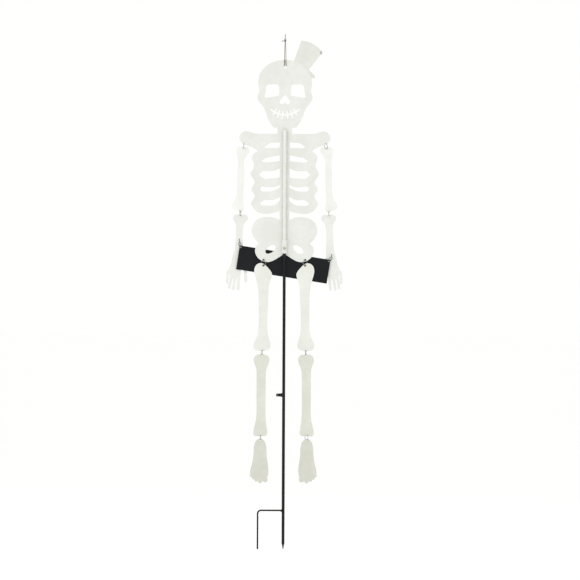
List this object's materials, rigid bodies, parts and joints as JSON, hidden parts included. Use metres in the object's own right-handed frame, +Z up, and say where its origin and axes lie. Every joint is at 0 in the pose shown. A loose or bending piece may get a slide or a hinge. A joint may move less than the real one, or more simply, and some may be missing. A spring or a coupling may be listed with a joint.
{
  "type": "hanging skeleton garden decoration",
  "caption": "Flat sheet-metal skeleton with a top hat and ring-jointed limbs, holding a blank sign, hung by a twine loop, with a garden stake down its back.",
  "frame": {"origin": "top of the twine eye that the figure hangs from", "axes": "+Z up along the hanging figure, +Y towards its decorated front, +X to the right as seen from its back"},
  "size_m": [0.3494, 0.0367, 1.546],
  "materials": {
    "glow_paint": "satin glow-in-the-dark paint",
    "white_paint": "satin",
    "sign_paint": "semi-gloss",
    "black_paint": "satin",
    "bare_steel": "turned",
    "ring_wire": "satin",
    "twine": "twisted jute"
  },
  "bodies": {
    "figure": {"torso_plate": "glow_paint", "hat_plate": "glow_paint", "spine_tube": "white_paint", "pole_socket": "white_paint", "socket_screw": "white_paint", "twine_loop": "twine", "twine_knot": "twine"},
    "left_shoulder_ring": {"left_shoulder_ring": "ring_wire"},
    "left_upper_arm": {"left_upper_arm": "glow_paint"},
    "left_elbow_ring": {"left_elbow_ring": "ring_wire"},
    "left_forearm": {"left_forearm_and_hand": "glow_paint"},
    "right_shoulder_ring": {"right_shoulder_ring": "ring_wire"},
    "right_upper_arm": {"right_upper_arm": "glow_paint"},
    "right_elbow_ring": {"right_elbow_ring": "ring_wire"},
    "right_forearm": {"right_forearm_and_hand": "glow_paint"},
    "sign": {"sign_plate": "sign_paint", "left_sign_hook": "ring_wire", "right_sign_hook": "ring_wire"},
    "left_hip_ring": {"left_hip_ring": "ring_wire"},
    "left_thigh": {"left_thigh": "glow_paint"},
    "left_knee_ring": {"left_knee_ring": "ring_wire"},
    "left_shin": {"left_shin": "glow_paint"},
    "left_ankle_ring": {"left_ankle_ring": "ring_wire"},
    "left_foot": {"left_foot": "glow_paint"},
    "right_hip_ring": {"right_hip_ring": "ring_wire"},
    "right_thigh": {"right_thigh": "glow_paint"},
    "right_knee_ring": {"right_knee_ring": "ring_wire"},
    "right_shin": {"right_shin": "glow_paint"},
    "right_ankle_ring": {"right_ankle_ring": "ring_wire"},
    "right_foot": {"right_foot": "glow_paint"},
    "hat_ring": {"hat_ring": "ring_wire"},
    "upper_pole": {"upper_pole": "black_paint", "clamp_nut": "black_paint"},
    "stake": {"lower_pole": "black_paint", "stake_point": "bare_steel", "step_fork": "black_paint"},
    "wing_screw": {"wing_screw": "black_paint"}
  },
  "joints": [
    {"name": "left_shoulder_swing", "type": "hinge", "parent": "figure", "child": "left_shoulder_ring", "pos_m": [-0.1233, 0, -0.3282], "axis": [1, 0, 0], "range_deg": [0, 19]},
    {"name": "left_arm_sway", "type": "hinge", "parent": "left_shoulder_ring", "child": "left_upper_arm", "pos_m": [-0.1233, 0.006, -0.34325], "axis": [0, 1, 0], "range_deg": [-4, 4]},
    {"name": "left_elbow_swing", "type": "hinge", "parent": "left_upper_arm", "child": "left_elbow_ring", "pos_m": [-0.1328, 0.006, -0.531], "axis": [1, 0, 0], "range_deg": [0, 26]},
    {"name": "left_forearm_sway", "type": "hinge", "parent": "left_elbow_ring", "child": "left_forearm", "pos_m": [-0.1328, 0.012, -0.54605], "axis": [0, 1, 0], "range_deg": [-4, 4]},
    {"name": "right_shoulder_swing", "type": "hinge", "parent": "figure", "child": "right_shoulder_ring", "pos_m": [0.1233, 0, -0.3282], "axis": [1, 0, 0], "range_deg": [0, 19]},
    {"name": "right_arm_sway", "type": "hinge", "parent": "right_shoulder_ring", "child": "right_upper_arm", "pos_m": [0.1233, 0.006, -0.34325], "axis": [0, 1, 0], "range_deg": [-4, 4]},
    {"name": "right_elbow_swing", "type": "hinge", "parent": "right_upper_arm", "child": "right_elbow_ring", "pos_m": [0.1328, 0.006, -0.531], "axis": [1, 0, 0], "range_deg": [0, 26]},
    {"name": "right_forearm_sway", "type": "hinge", "parent": "right_elbow_ring", "child": "right_forearm", "pos_m": [0.1328, 0.012, -0.54605], "axis": [0, 1, 0], "range_deg": [-4, 4]},
    {"name": "sign_flap", "type": "hinge", "parent": "left_forearm", "child": "sign", "pos_m": [-0.13549, 0.012, -0.61336], "axis": [0.9872, 0, -0.1594], "range_deg": [0, 2.2]},
    {"name": "left_hip_swing", "type": "hinge", "parent": "figure", "child": "left_hip_ring", "pos_m": [-0.0625, 0, -0.6782], "axis": [1, 0, 0], "range_deg": [-26, 0]},
    {"name": "left_thigh_sway", "type": "hinge", "parent": "left_hip_ring", "child": "left_thigh", "pos_m": [-0.0625, 0, -0.6944], "axis": [0, 1, 0], "range_deg": [-3, 12]},
    {"name": "left_knee_swing", "type": "hinge", "parent": "left_thigh", "child": "left_knee_ring", "pos_m": [-0.0655, 0, -0.9482], "axis": [1, 0, 0], "range_deg": [-30, 30]},
    {"name": "left_shin_sway", "type": "hinge", "parent": "left_knee_ring", "child": "left_shin", "pos_m": [-0.0655, 0, -0.9644], "axis": [0, 1, 0], "range_deg": [-3, 12]},
    {"name": "left_ankle_swing", "type": "hinge", "parent": "left_shin", "child": "left_ankle_ring", "pos_m": [-0.069, 0, -1.202], "axis": [1, 0, 0], "range_deg": [-30, 30]},
    {"name": "left_foot_sway", "type": "hinge", "parent": "left_ankle_ring", "child": "left_foot", "pos_m": [-0.069, 0, -1.2182], "axis": [0, 1, 0], "range_deg": [-12, 12]},
    {"name": "right_hip_swing", "type": "hinge", "parent": "figure", "child": "right_hip_ring", "pos_m": [0.0625, 0, -0.6782], "axis": [1, 0, 0], "range_deg": [-26, 0]},
    {"name": "right_thigh_sway", "type": "hinge", "parent": "right_hip_ring", "child": "right_thigh", "pos_m": [0.0625, 0, -0.6944], "axis": [0, 1, 0], "range_deg": [-12, 6]},
    {"name": "right_knee_swing", "type": "hinge", "parent": "right_thigh", "child": "right_knee_ring", "pos_m": [0.0655, 0, -0.9482], "axis": [1, 0, 0], "range_deg": [-30, 30]},
    {"name": "right_shin_sway", "type": "hinge", "parent": "right_knee_ring", "child": "right_shin", "pos_m": [0.0655, 0, -0.9644], "axis": [0, 1, 0], "range_deg": [-12, 6]},
    {"name": "right_ankle_swing", "type": "hinge", "parent": "right_shin", "child": "right_ankle_ring", "pos_m": [0.069, 0, -1.202], "axis": [1, 0, 0], "range_deg": [-30, 30]},
    {"name": "right_foot_sway", "type": "hinge", "parent": "right_ankle_ring", "child": "right_foot", "pos_m": [0.069, 0, -1.2182], "axis": [0, 1, 0], "range_deg": [-12, 12]},
    {"name": "hat_ring_swing", "type": "hinge", "parent": "figure", "child": "hat_ring", "pos_m": [0.10779, 0.001, -0.05459], "axis": [1, 0, 0], "range_deg": [-20, 20]},
    {"name": "upper_pole_slide", "type": "slide", "parent": "figure", "child": "upper_pole", "axis": [0, 0, -1], "range_m": [0, 0.04]},
    {"name": "stake_slide", "type": "slide", "parent": "upper_pole", "child": "stake", "axis": [0, 0, -1], "range_m": [0, 0.05]},
    {"name": "wing_screw_turn", "type": "hinge", "parent": "upper_pole", "child": "wing_screw", "pos_m": [0, -0.0071, -1.083], "axis": [-1, 0, 0], "continuous": true}
  ],
  "couplings": [
    {"joint": "right_shoulder_swing", "follows": "left_shoulder_swing", "ratio": 1},
    {"joint": "right_arm_sway", "follows": "left_arm_sway", "ratio": 1},
    {"joint": "right_elbow_swing", "follows": "left_elbow_swing", "ratio": 1},
    {"joint": "left_forearm_sway", "follows": "left_arm_sway", "ratio": -1},
    {"joint": "right_forearm_sway", "follows": "left_arm_sway", "ratio": -1}
  ]
}
